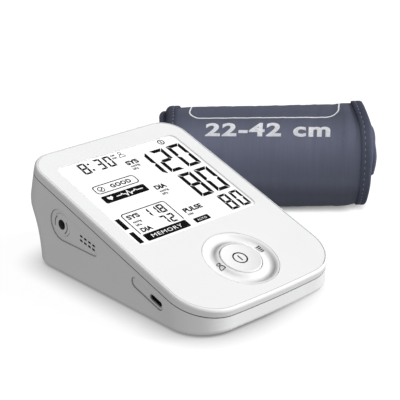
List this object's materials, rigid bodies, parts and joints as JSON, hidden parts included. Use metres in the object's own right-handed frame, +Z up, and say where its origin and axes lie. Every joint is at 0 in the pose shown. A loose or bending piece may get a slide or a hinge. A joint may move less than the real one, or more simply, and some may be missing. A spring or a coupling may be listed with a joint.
{
  "type": "blood pressure monitor",
  "caption": "Wedge-shaped automatic blood pressure monitor with a sloping lit display, a round dished key with a centre button, side air and charging sockets, and its rolled arm cuff.",
  "frame": {"origin": "on the table, under the middle of the bounding box of the monitor and its rolled cuff", "axes": "+Z up; +X to the monitor's right as its user sees it, the longest extent; +Y from the front of the monitor to its back"},
  "size_m": [0.2268, 0.179, 0.065],
  "materials": {
    "lower_case": "satin",
    "top_cover": "satin",
    "battery_cover": "satin",
    "rubber_feet": "matt",
    "case_screws": "plain",
    "display_lens": "clear",
    "lcd_frame": "matt",
    "lcd_panel": "frosted",
    "backlight_plate": "clear",
    "zebra_strip": "matt",
    "main_board": "solder mask",
    "board_chips": "matt",
    "board_screws": "plain",
    "charge_shell": "bright",
    "charge_tongue": "matt",
    "start_button": "satin",
    "ring_key": "satin",
    "start_key_dome": "matt",
    "ring_key_domes": "matt",
    "air_jack": "satin",
    "jack_o_ring": "matt",
    "jack_nut": "matt",
    "buzzer": "matt",
    "pump_motor": "plain",
    "pump_rotor": "plain",
    "pump_head": "matt",
    "pump_mount": "foam",
    "valve_body": "matt",
    "valve_plunger": "plain",
    "valve_spring": "matt",
    "air_manifold": "matt",
    "pressure_sensor": "matt",
    "tube_jack": "translucent",
    "tube_pump": "translucent",
    "tube_valve": "translucent",
    "tube_sensor": "translucent",
    "batteries": "printed sleeve",
    "battery_springs": "nickel",
    "battery_contacts": "nickel",
    "battery_leads": "insulation",
    "motor_leads": "insulation",
    "cuff_outer_cover": "woven nylon",
    "cuff_inner_cover": "woven nylon",
    "cuff_inner_roll": "woven nylon",
    "cuff_bladder": "film",
    "cuff_binding_left": "woven tape",
    "cuff_binding_right": "woven tape",
    "cuff_hook_patch": "hook tape",
    "cuff_air_port": "satin"
  },
  "bodies": {
    "monitor": {"lower_case": "lower_case", "top_cover": "top_cover", "rubber_feet": "rubber_feet", "case_screws": "case_screws", "display_lens": "display_lens", "lcd_frame": "lcd_frame", "lcd_panel": "lcd_panel", "backlight_plate": "backlight_plate", "zebra_strip": "zebra_strip", "main_board": "main_board", "board_chips": "board_chips", "board_screws": "board_screws", "charge_shell": "charge_shell", "charge_tongue": "charge_tongue", "start_key_dome": "start_key_dome", "ring_key_domes": "ring_key_domes", "air_jack": "air_jack", "jack_o_ring": "jack_o_ring", "jack_nut": "jack_nut", "buzzer": "buzzer", "pump_motor": "pump_motor", "pump_head": "pump_head", "pump_mount": "pump_mount", "valve_body": "valve_body", "valve_spring": "valve_spring", "air_manifold": "air_manifold", "pressure_sensor": "pressure_sensor", "tube_jack": "tube_jack", "tube_pump": "tube_pump", "tube_valve": "tube_valve", "tube_sensor": "tube_sensor", "batteries": "batteries", "battery_springs": "battery_springs", "battery_contacts": "battery_contacts", "battery_leads": "battery_leads", "motor_leads": "motor_leads"},
    "start_button": {"start_button": "start_button"},
    "ring_key": {"ring_key": "ring_key"},
    "battery_cover": {"battery_cover": "battery_cover"},
    "pump_rotor": {"pump_rotor": "pump_rotor"},
    "valve_plunger": {"valve_plunger": "valve_plunger"},
    "cuff": {"cuff_outer_cover": "cuff_outer_cover", "cuff_inner_cover": "cuff_inner_cover", "cuff_inner_roll": "cuff_inner_roll", "cuff_bladder": "cuff_bladder", "cuff_binding_left": "cuff_binding_left", "cuff_binding_right": "cuff_binding_right", "cuff_hook_patch": "cuff_hook_patch", "cuff_air_port": "cuff_air_port"}
  },
  "joints": [
    {"name": "start_press", "type": "slide", "parent": "monitor", "child": "start_button", "axis": [0, 0.3181, -0.948], "range_m": [0, 0.0009], "stiffness_N_per_m": 900, "springref_m": -0.0004, "deforming": ["start_key_dome"]},
    {"name": "ring_rock", "type": "hinge", "parent": "monitor", "child": "ring_key", "pos_m": [-0.06036, -0.06169, 0.01945], "axis": [0, 0.948, 0.3181], "range_deg": [-2, 2], "stiffness_Nm_per_rad": 1.2, "deforming": ["ring_key_domes"]},
    {"name": "battery_cover_slide", "type": "slide", "parent": "monitor", "child": "battery_cover", "axis": [0, 1, 0], "range_m": [0, 0.078]},
    {"name": "pump_spin", "type": "hinge", "parent": "monitor", "child": "pump_rotor", "pos_m": [-0.06036, 0.03068, 0.0315], "axis": [1, 0, 0], "continuous": true},
    {"name": "valve_stroke", "type": "slide", "parent": "monitor", "child": "valve_plunger", "axis": [0, 0, 1], "range_m": [0, 0.0008], "stiffness_N_per_m": 200, "springref_m": -0.001, "deforming": ["valve_spring"]},
    {"name": "cuff_lift", "type": "slide", "parent": "monitor", "child": "cuff", "axis": [0.5463, 0.449, 0.7071], "range_m": [0, 0.2]}
  ]
}
